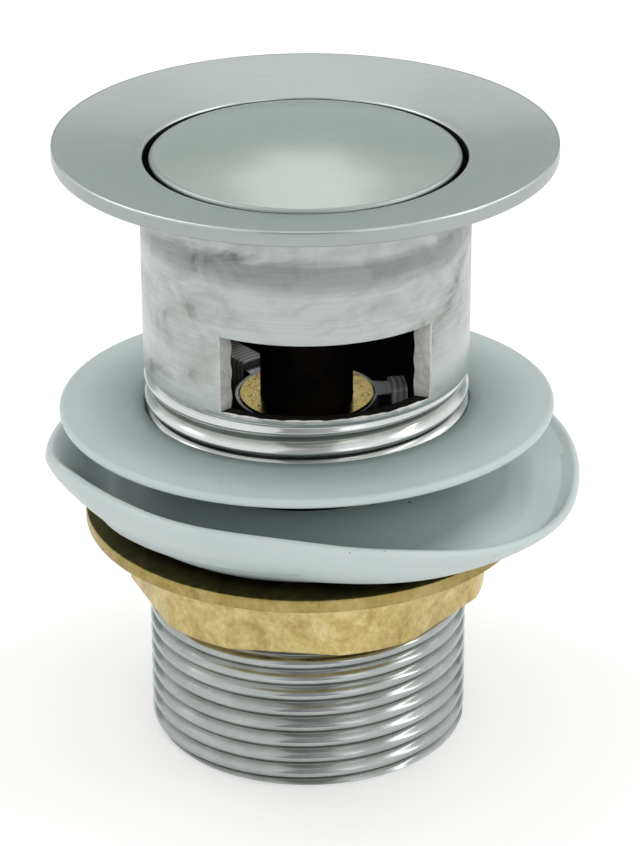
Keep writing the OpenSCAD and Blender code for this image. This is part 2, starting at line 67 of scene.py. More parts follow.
FLANGE_R, FOOT_Z, RIM_Z = reach("waste_body")
CAP_R, CAP_LOW, CAP_TOP = reach("plug_cap")
NUT_FLANGE_R, NUT_LOW, NUT_TOP = reach("back_nut")
FLAT_R, FLAT_LOW, FLAT_TOP = reach("flat_washer")
DISH_LOW = reach("tapered_washer")[1]
HUB_TOP = reach("hub_bush")[2]

# Tube, its bore, and the bore of the washers and the nut that slip over it
TAIL_R = 20.955
BORE_R = 18.25
SLIP_R = TAIL_R + 0.08

# Thread: pitch, depth, height of a crest at the front, upper end, run-out there and chamfer at the foot
PITCH = 2.309
THREAD_DEPTH = 0.8
CREST_Z = 17.95
THREAD_TOP = 52.0
RUN_OUT = 1.1
FOOT_CHAMFER = 0.5
# Above 1, the crests of the plated thread are wider than its roots
CREST_WIDTH = 1.3
# Bright rings at the thread's upper end: their start, the stretch over which they begin, and their depth
RING_Z, RING_BLEND, RING_DEPTH = 45.5, 2.0, 0.85
# Where the ridges are drawn apart, over what stretch and by how much
WIDE_Z, WIDE_OVER, WIDE_BY = 48.3, 2.2, 0.45

# Flange: radius of its mouth, fall from the rim to the mouth, heights of the mouth and of the tube's root
MOUTH_R, MOUTH_FALL = 20.4, 2.2
MOUTH_Z = RIM_Z - MOUTH_FALL
ROOT_Z = MOUTH_Z - 2.2
# Thickness at the rim, rounding of the upper and the lower edge, and the fillet under the flange
RIM_THICK = 1.9
ROUND_R, UNDER_R, FILLET_R = 0.3, 0.2, 1.2
# Cone that the plug's seal sits on: its top and foot, down from the mouth
SEAT_TOP, SEAT_FOOT = 2.0, 4.1

# Windows: heights, start and end angles, and the width of their worn edge
SILL, LINTEL = 52.5, 62.5
WINDOWS = [(239.3, 317.3), (59.3, 137.3)]
WORN = 0.12
# Fall of the sill from its outer to its inner edge
SILL_FALL = 0.6
# Burrs along the sill: height, waves per degree and start
BURRS = [(0.05, 0.31, 0), (0.04, 0.83, 1), (0.02, 1.7, 0)]


# Mesh helpers


def arc(centre, radius, start, end, steps=8):
    angles = np.radians(np.linspace(start, end, steps + 1))
    return [(centre[0] + radius * math.cos(a), centre[1] + radius * math.sin(a)) for a in angles]


def bezier(p0, p1, p2, p3, steps):
    t = np.linspace(0, 1, steps + 1)[:, None]
    p0, p1, p2, p3 = (np.array(p, float) for p in (p0, p1, p2, p3))
    points = (1 - t) ** 3 * p0 + 3 * (1 - t) ** 2 * t * p1 + 3 * (1 - t) * t**2 * p2 + t**3 * p3
    return [tuple(p) for p in points]


def smoothstep(low, high, value):
    t = min(max((value - low) / (high - low), 0.0), 1.0)
    return t * t * (3 - 2 * t)


def store(name, verts, faces, body, slot, materials, sharp=35.0, face_material=None, merge=False):
    """Makes an object of points in millimetres and lets it ride on a body."""
    mesh = bpy.data.meshes.new(name)
    mesh.from_pydata([tuple(np.array(v) * MM) for v in verts], [], faces)
    if merge:
        bm = bmesh.new()
        bm.from_mesh(mesh)
        bmesh.ops.remove_doubles(bm, verts=bm.verts, dist=2e-7)
        bmesh.ops.dissolve_degenerate(bm, edges=bm.edges, dist=1e-7)
        bmesh.ops.recalc_face_normals(bm, faces=bm.faces)
        bm.to_mesh(mesh)
        bm.free()
    mesh.validate()
    for m in materials:
        mesh.materials.append(m)
    if face_material:
        for p in mesh.polygons:
            p.material_index = face_material(p)
    mesh.shade_smooth()
    mesh.set_sharp_from_angle(angle=math.radians(sharp))
    obj = bpy.data.objects.new(name, mesh)
    scene.collection.objects.link(obj)
    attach(obj, body)
    return obj


def ring_faces(rounds, size, closed):
    """Faces between neighbouring sections of a full turn. Each section has size points."""
    faces = []
    last = size if closed else size - 1
    for i in range(rounds):
        j = (i + 1) % rounds
        for k in range(last):
            q = (k + 1) % size
            faces.append((i * size + k, j * size + k, j * size + q, i * size + q))
    return faces


def lathe(profile, angles, closed, shape=None):
    """Turns a profile of (radius, height) round Z. shape(angle, r, z) may move a point."""
    verts = []
    for a in angles:
        c, s = math.cos(a), math.sin(a)
        for r, z in profile:
            if shape:
                r, z = shape(a, r, z)
            verts.append((r * c, r * s, z))
    return verts, ring_faces(len(angles), len(profile), closed)


def round_angles(count):
    return [2 * math.pi * i / count for i in range(count)]


# Materials


class Nodes:
    """Short names for building a material's node tree."""

    def __init__(self, name):
        self.material = bpy.data.materials.new(name)
        self.material.use_nodes = True
        self.tree = self.material.node_tree
        self.shader = self.tree.nodes["Principled BSDF"]
        self.coords = self.tree.nodes.new("ShaderNodeTexCoord").outputs["Object"]

    def link(self, a, b):
        self.tree.links.new(a, b)

    def set(self, **values):
        for key, value in values.items():
            self.shader.inputs[key.replace("_", " ")].default_value = value

    def paint(self, colour, rough):
        self.link(colour, self.shader.inputs["Base Color"])
        self.link(rough, self.shader.inputs["Roughness"])

    def mapped(self, stretch, turn=0.0):
        """Object coordinates, turned about Y by an angle in degrees and then stretched."""
        n = self.tree.nodes.new("ShaderNodeMapping")
        n.vector_type = "TEXTURE"
        n.inputs["Rotation"].default_value = (0, math.radians(turn), 0)
        n.inputs["Scale"].default_value = [1 / s for s in stretch]
        self.link(self.coords, n.inputs["Vector"])
        return n.outputs["Vector"]

    def noise(self, scale, detail=4.0, rough=0.55, stretch=(1, 1, 1), turn=0.0, distortion=0.0):
        n = self.tree.nodes.new("ShaderNodeTexNoise")
        n.inputs["Scale"].default_value = scale
        n.inputs["Detail"].default_value = detail
        n.inputs["Roughness"].default_value = rough
        n.inputs["Distortion"].default_value = distortion
        self.link(self.mapped(stretch, turn), n.inputs["Vector"])
        return n.outputs["Fac"]

    def along(self, axis):
        n = self.tree.nodes.new("ShaderNodeSeparateXYZ")
        self.link(self.coords, n.inputs["Vector"])
        return n.outputs[axis]

    def radius(self):
        """Distance from the axis."""
        n = self.tree.nodes.new("ShaderNodeVectorMath")
        n.operation = "LENGTH"
        self.link(self.mapped((1, 1, 1e-6)), n.inputs[0])
        return n.outputs["Value"]

    def ramp(self, fac, stops):
        n = self.tree.nodes.new("ShaderNodeValToRGB")
        elements = n.color_ramp.elements
        while len(elements) < len(stops):
            elements.new(0.5)
        for e, (pos, colour) in zip(elements, stops):
            e.position = pos
            e.color = (*colour, 1.0) if isinstance(colour, tuple) else (colour, colour, colour, 1.0)
        self.link(fac, n.inputs["Fac"])
        return n.outputs["Color"]

    def span(self, fac, low, high, start=0.3, end=0.7):
        n = self.tree.nodes.new("ShaderNodeMapRange")
        n.inputs["From Min"].default_value = start
        n.inputs["From Max"].default_value = end
        n.inputs["To Min"].default_value = low
        n.inputs["To Max"].default_value = high
        self.link(fac, n.inputs["Value"])
        return n.outputs["Result"]

    def math(self, operation, a, b=0.0):
        n = self.tree.nodes.new("ShaderNodeMath")
        n.operation = operation
        for socket, value in zip(n.inputs, (a, b)):
            if isinstance(value, (int, float)):
                socket.default_value = value
            else:
                self.link(value, socket)
        return n.outputs["Value"]

    def times(self, a, b):
        """Colour a multiplied by colour b."""
        n = self.tree.nodes.new("ShaderNodeMix")
        n.data_type = "RGBA"
        n.blend_type = "MULTIPLY"
        n.inputs["Factor"].default_value = 1.0
        self.link(a, n.inputs[6])
        self.link(b, n.inputs[7])
        return n.outputs[2]

    def bump(self, heights):
        """Stacks bumps given as (height socket, strength, depth in metres)."""
        normal = None
        for height, strength, depth in heights:
            n = self.tree.nodes.new("ShaderNodeBump")
            n.inputs["Strength"].default_value = strength
            n.inputs["Distance"].default_value = depth
            self.link(height, n.inputs["Height"])
            if normal:
                self.link(normal, n.inputs["Normal"])
            normal = n.outputs["Normal"]
        self.link(normal, self.shader.inputs["Normal"])


def satin_plating(name, dark, light, rough):
    """Even satin plating with a faint cloud and hair-fine wipe marks."""
    n = Nodes(name)
    cloud = n.noise(60, 3, 0.5)
    wiped = n.noise(1.0, 3, 0.6, stretch=(300, 1500, 300), turn=8)
    colour = n.ramp(cloud, [(0.3, dark), (0.7, light)])
    marks = n.ramp(wiped, [(0.3, 0.97), (0.6, 1.0)])
    n.paint(n.times(colour, marks), n.span(wiped, *rough))
    n.set(Metallic=1.0)
    n.bump([(n.noise(900, 2, 0.5), 0.06, 0.00002)])
    return n.material


def tube_plating():
    """Thin plating over turned brass: slanting dark smears that are painted reflections of the surroundings
    in the uneven plating, turning lines, and a band of painted shade under the flange.
    """
    n = Nodes("tube_plating")
    reflection_smear = n.noise(1.0, 6, 0.62, stretch=(40, 40, 120), turn=-16, distortion=1.0)
    cloud = n.noise(190, 5, 0.62, distortion=0.6)
    lines = n.noise(1.0, 2, 0.5, stretch=(40, 40, 4200))
    # Painted reflection smears mixed with a random cloud of tone; this mix sets colour and roughness
    worn = n.math("ADD", n.math("MULTIPLY", reflection_smear, 0.6), n.math("MULTIPLY", cloud, 0.4))
    colour = n.ramp(
        worn, [(0.36, (0.25, 0.26, 0.24)), (0.43, (0.39, 0.41, 0.395)), (0.54, (0.475, 0.505, 0.495))]
    )
    # The band of painted shade lies in the upper part of this stretch, and its edges waver with the painted
    # reflection smears
    stretch_low, stretch_high, waver_by = 60 * MM, 78 * MM, 7 * MM
    waver = n.math("MULTIPLY", n.math("SUBTRACT", reflection_smear, 0.5), waver_by)
    level = n.span(n.math("ADD", n.along("Z"), waver), 0.0, 1.0, stretch_low, stretch_high)
    # Painted shade under the flange: the band darkens the tube to about 0.6
    shade_band = n.ramp(level, [(0.0, 1.0), (0.5, 1.0), (0.6, 0.62), (0.7, 0.60), (0.78, 0.95), (1.0, 1.0)])
    turned = n.ramp(lines, [(0.35, 0.92), (0.6, 1.0)])
    n.paint(n.times(n.times(colour, shade_band), turned), n.span(worn, 0.42, 0.26))
    n.set(Metallic=1.0)
    n.bump([(lines, 0.35, 0.00003), (cloud, 0.25, 0.00008)])
    return n.material


def thread_plating(name, dark, light):
    """Bright ridges with roots darkened by painted shade."""
    n = Nodes(name)
    cloud = n.noise(130, 5, 0.6, stretch=(1, 1, 2))
    unshaded_tone = n.ramp(cloud, [(0.3, dark), (0.7, light)])
    depth = n.span(n.radius(), 0.0, 1.0, (TAIL_R - THREAD_DEPTH) * MM, TAIL_R * MM)
    # Painted shade in the roots: darker with depth, its edge broken up by the cloud
    root_shade = n.math("ADD", depth, n.math("MULTIPLY", n.math("SUBTRACT", cloud, 0.5), 0.35))
    roots = n.ramp(root_shade, [(0.0, (0.50, 0.50, 0.46)), (0.35, (0.80, 0.81, 0.79)), (0.7, 1.0)])
    n.paint(n.times(unshaded_tone, roots), n.span(cloud, 0.12, 0.24))
    n.set(Metallic=1.0)
    lines = n.noise(1.0, 2, 0.5, stretch=(40, 40, 3600))
    n.bump([(lines, 0.12, 0.00003), (n.noise(300, 3, 0.6), 0.1, 0.00005)])
    return n.material


def brass(name, dark, mid, light, rough, bump, metallic=1.0):
    """Satin brass with patches, fine grain and small pits. The window's cut faces share it, and so does the
    lintel's worn edge, whose light colour is a painted highlight.
    """
    n = Nodes(name)
    patches = n.noise(240, 5, 0.65, distortion=0.8)
    grain = n.noise(1300, 4, 0.7)
    mottle = n.math("ADD", n.math("MULTIPLY", patches, 0.65), n.math("MULTIPLY", grain, 0.35))
    base = n.ramp(mottle, [(0.38, dark), (0.5, mid), (0.6, light)])
    shade = n.ramp(n.noise(45, 3, 0.5), [(0.3, 0.85), (0.6, 1.0)])
    n.paint(n.times(base, shade), n.span(mottle, *rough))
    n.set(Metallic=metallic)
    pits = n.ramp(n.noise(1500, 2, 0.5), [(0.3, 0.0), (0.45, 1.0)])
    n.bump([(mottle, bump, 0.0001), (pits, bump * 0.5, 0.00005)])
    return n.material


def veined_brass():
    """Bright faced brass with thin dark stains that run like veins."""
    n = Nodes("hub_brass")
    cloud = n.noise(260, 4, 0.6)
    colour = n.ramp(cloud, [(0.3, (0.50, 0.36, 0.09)), (0.7, (0.66, 0.50, 0.16))])
    vein = n.math("ABSOLUTE", n.math("SUBTRACT", n.noise(330, 3, 0.55, distortion=2.5), 0.5))
    stains = n.ramp(vein, [(0.006, (0.25, 0.20, 0.14)), (0.03, 1.0)])
    n.paint(n.times(colour, stains), n.span(cloud, 0.16, 0.26))
    n.set(Metallic=1.0)
    n.bump([(cloud, 0.15, 0.00005)])
    return n.material


def faced_metal(name, dark, light, rough, step, contrast, metallic=1.0):
    """Lathe-faced metal: rings of tool marks round the axis, a step apart."""
    n = Nodes(name)
    cloud = n.noise(400, 4, 0.6)
    wave = n.math("SINE", n.math("MULTIPLY", n.radius(), 2 * math.pi / (step * MM)))
    colour = n.ramp(cloud, [(0.3, dark), (0.7, light)])
    marks = n.ramp(n.span(wave, 0.0, 1.0, -1.0, 1.0), [(0.2, 1.0 - contrast), (0.7, 1.0)])
    n.paint(n.times(colour, marks), n.span(cloud, *rough))
    n.set(Metallic=metallic)
    n.bump([(wave, 0.2, 0.00005)])
    return n.material


def soft(name, dark, light, shaded, unshaded_r, subsurface, fade=9.0, right_light=0.0):
    """Pale rubber or plastic: a faint cloud of colour, darkened towards the bore by painted shade, with a
    few tiny dark specks.
    The painted shade fades out up to the unshaded radius. Where a lean to the right is set, the unshaded
    part gets wider towards the right, which is painted light."""
    n = Nodes(name)
    colour = n.ramp(n.noise(70, 4, 0.55), [(0.3, dark), (0.7, light)])
    shift = n.math("MULTIPLY", n.math("MAXIMUM", n.along("X"), 0.0), right_light)
    outward = n.span(n.math("ADD", n.radius(), shift), 0.0, 1.0, (unshaded_r - fade) * MM, unshaded_r * MM)
    # Painted shade: darker towards the bore, where the tube and the pieces above shade the surface
    bore_shade = n.ramp(outward, [(0.0, shaded), (1.0, 1.0)])
    specks = n.ramp(n.noise(900, 0, 0.3), [(0.885, 1.0), (0.895, (0.3, 0.31, 0.31))])
    n.paint(n.times(n.times(colour, bore_shade), specks), n.span(n.noise(160, 3, 0.5), 0.35, 0.5))
    n.set(Subsurface_Weight=subsurface, Subsurface_Scale=0.002)
    n.bump([(n.noise(45, 3, 0.5), 0.2, 0.0003), (n.noise(1400, 2, 0.5), 0.1, 0.00003)])
    return n.material


def moulded(name, dark, light, rough, scale=240, shine=0.5):
    """Moulded plastic or rubber for the inner pieces, and near-black painted shade for the bore and the
    housing.
    """
    n = Nodes(name)
    cloud = n.noise(scale, 4, 0.6)
    n.paint(n.ramp(cloud, [(0.3, dark), (0.7, light)]), n.span(cloud, *rough))
    n.set(Specular_IOR_Level=shine)
    n.bump([(n.noise(1800, 2, 0.5), 0.2, 0.00003)])
    return n.material


FLANGE = satin_plating("flange_plating", (0.49, 0.53, 0.51), (0.51, 0.55, 0.53), rough=(0.2, 0.26))
TURNED = satin_plating("turned_rim", (0.35, 0.385, 0.37), (0.40, 0.43, 0.415), rough=(0.3, 0.36))
CAP = satin_plating("cap_plating", (0.57, 0.615, 0.575), (0.595, 0.64, 0.60), rough=(0.15, 0.2))
TUBE = tube_plating()
THREAD = thread_plating("thread_plating", (0.34, 0.36, 0.355), (0.47, 0.495, 0.49))
# Lighter copy of the thread's plating for the top rings: painted light
RING_LIT = thread_plating("ring_plating_lit", (0.62, 0.64, 0.635), (0.72, 0.74, 0.735))
# Darker, rougher copy of the cap's plating for its rolled edge: painted shade, a dimmer reflection
CAP_EDGE_SHADE = satin_plating("cap_edge_shade", (0.34, 0.38, 0.37), (0.37, 0.41, 0.40), rough=(0.38, 0.45))
STEEL = satin_plating("plain_steel", (0.42, 0.43, 0.44), (0.55, 0.56, 0.57), rough=(0.22, 0.38))
# Near-black painted shade for the inside of the tube, the mouth under the cap and the far stretch of the
# right-hand arm
BORE_SHADE = moulded(
    "bore_shade", (0.004, 0.004, 0.003), (0.014, 0.012, 0.009), rough=(0.6, 0.8), scale=160, shine=0.1
)
CUT = brass(
    "milled_cut", (0.58, 0.57, 0.53), (0.78, 0.77, 0.73), (0.88, 0.87, 0.83),
    rough=(0.45, 0.65), bump=0.9, metallic=0.05,
)
# Light copy for the lintel's worn edge: a painted highlight line
LINTEL_HIGHLIGHT = brass(
    "lintel_highlight", (0.62, 0.63, 0.60), (0.74, 0.75, 0.72), (0.82, 0.83, 0.80),
    rough=(0.3, 0.45), bump=0.3, metallic=0.3,
)
FACED = faced_metal(
    "faced_hub", (0.42, 0.435, 0.425), (0.50, 0.515, 0.505), rough=(0.25, 0.4), step=0.25, contrast=0.12
)
# Near-white, barely metal copy for the arms: a painted gleam of the light through the window; the rings are
# tool marks
ARM_GLEAM = faced_metal(
    "faced_arm_gleam", (0.78, 0.79, 0.77), (0.88, 0.89, 0.87),
    rough=(0.3, 0.45), step=0.8, contrast=0.5, metallic=0.1,
)
# Darker brass for the nut's flange
DARKER_BRASS = brass(
    "darker_brass", (0.29, 0.22, 0.065), (0.38, 0.295, 0.10), (0.46, 0.37, 0.15),
    rough=(0.3, 0.45), bump=0.3,
)
# Near-black brass for the nut's top: painted shadow of the soft washer above it
SHADOWED_BRASS = brass(
    "shadowed_brass", (0.05, 0.042, 0.008), (0.09, 0.075, 0.018), (0.14, 0.115, 0.035),
    rough=(0.35, 0.5), bump=0.2,
)
BRASS = brass(
    "mottled_brass", (0.42, 0.32, 0.115), (0.58, 0.465, 0.19), (0.70, 0.59, 0.29),
    rough=(0.3, 0.48), bump=0.3,
)
HUB_BRASS = veined_brass()
FLAT = soft(
    "pale_plastic", (0.58, 0.67, 0.66), (0.62, 0.705, 0.695), (0.45, 0.49, 0.49),
    unshaded_r=29.5, subsurface=0.06,
)
DISH = soft(
    "pale_rubber", (0.60, 0.685, 0.675), (0.645, 0.725, 0.715), (0.85, 0.86, 0.86),
    unshaded_r=33.0, subsurface=0.1,
)
# The cup's inside: a lighter copy with painted light on the brim, stronger painted shade in the hollow, and
# more painted light towards the right
CUP = soft(
    "lit_and_shaded_rubber", (0.73, 0.815, 0.805), (0.77, 0.85, 0.84), (0.39, 0.425, 0.425),
    unshaded_r=33.5, subsurface=0.1, fade=4.5, right_light=0.12,
)
BLACK_RUBBER = moulded("black_rubber", (0.02, 0.02, 0.02), (0.04, 0.04, 0.04), rough=(0.5, 0.7))
ACETAL = moulded("acetal", (0.68, 0.67, 0.62), (0.78, 0.77, 0.72), rough=(0.35, 0.5))
# Near-black painted shade for the housing seen through the windows
HOUSING_SHADE = moulded("housing_shade", (0.002, 0.002, 0.002), (0.010, 0.007, 0.004), rough=(0.5, 0.7), shine=0.08)


# Plated body: one skin for the flange, the slotted tube and the threaded tail


def column_angles():
    """Degrees of the body's columns: one a degree, and one on each side of a jamb's worn edge."""
    worn = math.degrees(WORN / TAIL_R)
    extra = [w[0] - worn for w in WINDOWS] + [w[1] + worn for w in WINDOWS]
    return sorted(round(a, 3) for a in [i + WINDOWS[0][0] % 1 for i in range(360)] + extra)


def thread_drop(angle, z):
    """Depth below the crests of the plated right-hand thread, at an angle in radians and a height."""
    level = z - WIDE_BY * smoothstep(WIDE_Z, WIDE_Z + WIDE_OVER, z)
    phase = (level - CREST_Z) / PITCH - (angle + math.pi / 2) / (2 * math.pi)
    valley = 0.5 - 0.5 * math.cos(2 * math.pi * phase)
    ring = smoothstep(RING_Z, RING_Z + RING_BLEND, z)
    drop = THREAD_DEPTH * valley**CREST_WIDTH * (1 - ring) + RING_DEPTH * valley * ring
    return drop * (1 - smoothstep(THREAD_TOP - RUN_OUT, THREAD_TOP, z))


def body_profile():
    """Radius and height of the body's rows above the thread, from outside over the rim to the bore's foot.
    Then the first row of the windows outside and inside, and how many rows they have."""
    panes = list(np.linspace(SILL, LINTEL, 14))
    outside = [(TAIL_R, z) for z in [THREAD_TOP, SILL - WORN] + panes + [LINTEL + WORN]]
    upper = (
        [(TAIL_R, z) for z in np.linspace(LINTEL + 1.5, ROOT_Z - 2, 7)]
        + arc((TAIL_R + FILLET_R, ROOT_Z - FILLET_R), FILLET_R, 180, 90)
        + [(FLANGE_R - 2.6, RIM_Z - RIM_THICK)]
        + arc((FLANGE_R - UNDER_R, RIM_Z - RIM_THICK + UNDER_R), UNDER_R, -90, 0, 4)
        + arc((FLANGE_R - ROUND_R, RIM_Z - ROUND_R), ROUND_R, 0, 80, 7)
    )
    slope = MOUTH_FALL / (FLANGE_R - MOUTH_R - 2 * ROUND_R)
    radii = np.linspace(FLANGE_R - 2 * ROUND_R, MOUTH_R + 0.5, 8)
    dish = [(r, MOUTH_Z + slope * (r - MOUTH_R - ROUND_R)) for r in radii]
    lip = arc((MOUTH_R + ROUND_R, MOUTH_Z - ROUND_R), ROUND_R, 80, 180, 8)
    seat = [
        (MOUTH_R, MOUTH_Z - SEAT_TOP),
        (BORE_R + 0.05, MOUTH_Z - SEAT_FOOT),
        (BORE_R, MOUTH_Z - SEAT_FOOT - 0.15),
    ]
    over = [(BORE_R, z) for z in np.linspace(ROOT_Z - 3, LINTEL + 1, 6)]
    inside = [(BORE_R, z) for z in panes[::-1]]
    below = [(BORE_R, z) for z in np.linspace(SILL - 2.5, FOOT_Z, 12)]
    before = outside + upper + dish + lip + seat + over
    first_out, first_in = 2, len(before)
    return before + inside + below, first_out, first_in, len(panes)


def ragged(degrees):
    """Height of the small burrs along the sill's edge."""
    return sum(high * math.sin(degrees * rate + start) for high, rate, start in BURRS)


def chipped(degrees, z):
    """Waver of a jamb's inner edge, in degrees."""
    return 0.35 * math.sin(1.9 * z + degrees)


def body_mesh():
    degrees = column_angles()
    columns = len(degrees)
    profile, first_out, first_in, rows = body_profile()
    m = len(profile)
    spans = [tuple(degrees.index(a) for a in w) for w in WINDOWS]
    verts, faces = [], []

    def in_window(i):
        return any(a <= i < b for a, b in spans)

    for i, angle in enumerate(degrees):
        at_window = any(a <= i <= b for a, b in spans)
        at_jamb = any(i in span for span in spans)
        for k, (r, z) in enumerate(profile):
            turn = angle
            row = k - first_out
            on_edge = row in (0, rows - 1) or (at_jamb and 0 <= row < rows)
            if at_window and on_edge:
                r -= WORN
                z += ragged(angle) if row == 0 else 0.0
            if at_window and k == first_in + rows - 1:
                z -= SILL_FALL
            if at_jamb and first_in <= k < first_in + rows:
                turn += chipped(angle, z)
            verts.append((r * math.cos(math.radians(turn)), r * math.sin(math.radians(turn)), z))
    for i in range(columns):
        j = (i + 1) % columns
        for k in range(m - 1):
            open_out = first_out <= k < first_out + rows - 1
            open_in = first_in <= k < first_in + rows - 1
            if not (in_window(i) and (open_out or open_in)):
                faces.append((i * m + k, j * m + k, j * m + k + 1, i * m + k + 1))
        if in_window(i):
            for row in (0, rows - 1):
                a, b = first_out + row, first_in + rows - 1 - row
                faces.append((i * m + a, j * m + a, j * m + b, i * m + b))
    for column in [c for span in spans for c in span]:
        for row in range(rows - 1):
            a, b = first_out + row, first_in + rows - 1 - row
            faces.append((column * m + a, column * m + a + 1, column * m + b - 1, column * m + b))

    # Thread: a grid that follows the helix, so that crests stay clean
    per_turn = 16
    count = int((THREAD_TOP / PITCH + 3) * per_turn)
    base = len(verts)
    for angle in degrees:
        a = math.radians(angle)
        for k in range(count):
            z = min(max(k * PITCH / per_turn + PITCH * (angle / 360 - 2), FOOT_Z), THREAD_TOP)
            r = min(TAIL_R - thread_drop(a, z), TAIL_R - FOOT_CHAMFER + z)
            verts.append((r * math.cos(a), r * math.sin(a), z))
    for i in range(columns):
        j, shift = (i + 1, 0) if i < columns - 1 else (0, per_turn)
        for k in range(count - 1 - shift):
            faces.append((
                base + i * count + k, base + j * count + k + shift,
                base + j * count + k + 1 + shift, base + i * count + k + 1,
            ))
    # Foot ring between the thread's end and the bore
    for i in range(columns):
        j = (i + 1) % columns
        faces.append((i * m + m - 1, j * m + m - 1, base + j * count, base + i * count))
    return verts, faces


def body_part(polygon):
    """Index of the finish that a face of the body takes."""
    c = polygon.center / MM
    r = math.hypot(c.x, c.y)
    flange, tube, thread, bore, cut, edge, ring, turned = range(8)
    near = 0.02
    if r > FLANGE_R - 0.25 and c.z < RIM_Z - 0.25:
        return turned
    if c.z > MOUTH_Z - 0.5 or r > TAIL_R + near:
        return flange
    # The bore, the mouth and the window's inner faces take the near-black painted shade
    if r < BORE_R + near or c.z > ROOT_Z:
        return bore
    if c.z < THREAD_TOP:
        # Above RING_Z the thread takes the lighter copy of its plating, which is painted light
        return ring if c.z > RING_Z else thread
    if r > TAIL_R - 0.03:
        return tube
    if r > TAIL_R - WORN:
        # The lintel's edge takes the painted highlight, the other worn edges the cut finish
        return edge if c.z > LINTEL else cut
    on_jamb = abs(polygon.normal.z) < 0.5
    return cut if on_jamb else bore


shell = store(
    "body_shell", *body_mesh(), "waste", "body_chrome",
    [FLANGE, TUBE, THREAD, BORE_SHADE, CUT, LINTEL_HIGHLIGHT, RING_LIT, TURNED],
    sharp=38, face_material=body_part, merge=True,
)
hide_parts("waste_body")


# Hub and arms inside the tube

HUB_R, HUB_BORE_R = 9.4, 7.3
HUB_LOW, HUB_FACE = HUB_TOP - 7.1, HUB_TOP - 0.1
# The recess round the bush sits a little towards the front
RECESS_R, RECESS_DEPTH, RECESS_SHIFT = 8.85, 0.8, 0.3
# Arms: directions in degrees, half width, underside and top
ARM_TURNS = (8, 128, 248)
ARM_HALF, ARM_LOW, ARM_TOP = 2.1, HUB_TOP - 6.1, HUB_TOP + 0.7
# Facing the hub has cut the arms down to this radius
FACED_R = 10.8
# Out from here the right-hand arm takes near-black painted shade
SHADE_X = 13.0


def hub_shape(angle, r, z):
    if r == RECESS_R:
        r -= RECESS_SHIFT * math.sin(angle)
    return r, z


def arm_section(top, width, edge):
    half = ARM_HALF * width
    return (
        [(-half, ARM_LOW), (half, ARM_LOW)]
        + arc((half - edge, top - edge), edge, 0, 90, 5)
        + arc((edge - half, top - edge), edge, 90, 180, 5)
    )


def spider_mesh():
    foot_r, edge_r = 0.6, 0.25
    hub = (
        [(HUB_BORE_R, HUB_LOW)]
        + arc((HUB_R - foot_r, HUB_LOW + foot_r), foot_r, -90, 0, 6)
        + arc((HUB_R - edge_r, HUB_FACE - edge_r), edge_r, 0, 90, 4)
        + [(RECESS_R, HUB_FACE), (RECESS_R, HUB_FACE - RECESS_DEPTH), (HUB_BORE_R, HUB_FACE - RECESS_DEPTH)]
    )
    verts, faces = lathe(hub, round_angles(180), True, hub_shape)
    # Distance from the axis, top, width and edge rounding of an arm's sections
    stations = [
        (9.0, HUB_FACE, 1.15, 0.15), (9.8, HUB_FACE, 1.0, 0.15), (FACED_R, HUB_FACE, 0.95, 0.15),
        (FACED_R + 0.05, ARM_TOP, 0.95, 0.7), (12.9, ARM_TOP, 0.97, 0.7), (18.6, ARM_TOP - 0.4, 1.2, 0.7),
    ]
    for turn in ARM_TURNS:
        c, s = math.cos(math.radians(turn)), math.sin(math.radians(turn))
        base = len(verts)
        for x, top, width, edge in stations:
            section = arm_section(top, width, edge)
            verts += [(c * x - s * y, s * x + c * y, z) for y, z in section]
        m = len(section)
        for ring in range(len(stations) - 1):
            a = base + ring * m
            faces += [(a + k, a + (k + 1) % m, a + m + (k + 1) % m, a + m + k) for k in range(m)]
        end = base + (len(stations) - 1) * m
        faces.append(tuple(range(base, base + m))[::-1])
        faces.append(tuple(range(end, end + m)))
    return verts, faces


def spider_part(polygon):
    """Index of the finish: faced hub, arms in a near-white painted gleam, or the outer stretch of the
    right-hand arm in near-black painted shade.
    """
    c = polygon.center / MM
    if math.hypot(c.x, c.y) < FACED_R - 0.01:
        return 0
    return 2 if c.x > SHADE_X else 1


store(
    "spider", *spider_mesh(), "waste", "body_chrome", [FACED, ARM_GLEAM, BORE_SHADE],
    sharp=40, face_material=spider_part,
)


# Plug cap: a shallow dome with a small rolled edge

CAP_RISE, EDGE_R = 1.4, 0.55
DOME_FOOT, SHOULDER = CAP_R - EDGE_R, CAP_TOP - CAP_RISE
CAP_HOLE_R, SKIRT_R = 4.1, 17.2


def cap_mesh():
    dome_r = (DOME_FOOT**2 + CAP_RISE**2) / (2 * CAP_RISE)
    dome_half = math.degrees(math.asin(DOME_FOOT / dome_r))
    dome = arc((0, CAP_TOP - dome_r), dome_r, 90 - dome_half * 0.99, 90, 24)
    profile = (
        [(CAP_HOLE_R, SHOULDER - 0.1), (CAP_HOLE_R, CAP_LOW), (SKIRT_R, CAP_LOW)]
        + [(CAP_R - 0.15, SHOULDER - EDGE_R - 0.25)]
        + arc((DOME_FOOT, SHOULDER - EDGE_R), EDGE_R, 0, 88, 12)
        + [(max(r, 0.02), z) for r, z in dome]
    )
    count, size = 256, len(profile)
    verts, faces = lathe(profile, round_angles(count), False)
    faces.append(tuple(i * size + size - 1 for i in range(count)))
    faces.append(tuple(i * size for i in range(count))[::-1])
    return verts, faces


def cap_part(polygon):
    """Index of the finish: bright dome, or the rougher edge darkened by painted shade."""
    c = polygon.center / MM
    return 1 if c.z < SHOULDER and math.hypot(c.x, c.y) > DOME_FOOT else 0


cap = store(
    "cap_dome", *cap_mesh(), "plug", "cap_chrome", [CAP, CAP_EDGE_SHADE], sharp=30, face_material=cap_part
)
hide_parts("plug_cap")


# Flat washer: it hangs a little askew on the thread, higher at the front

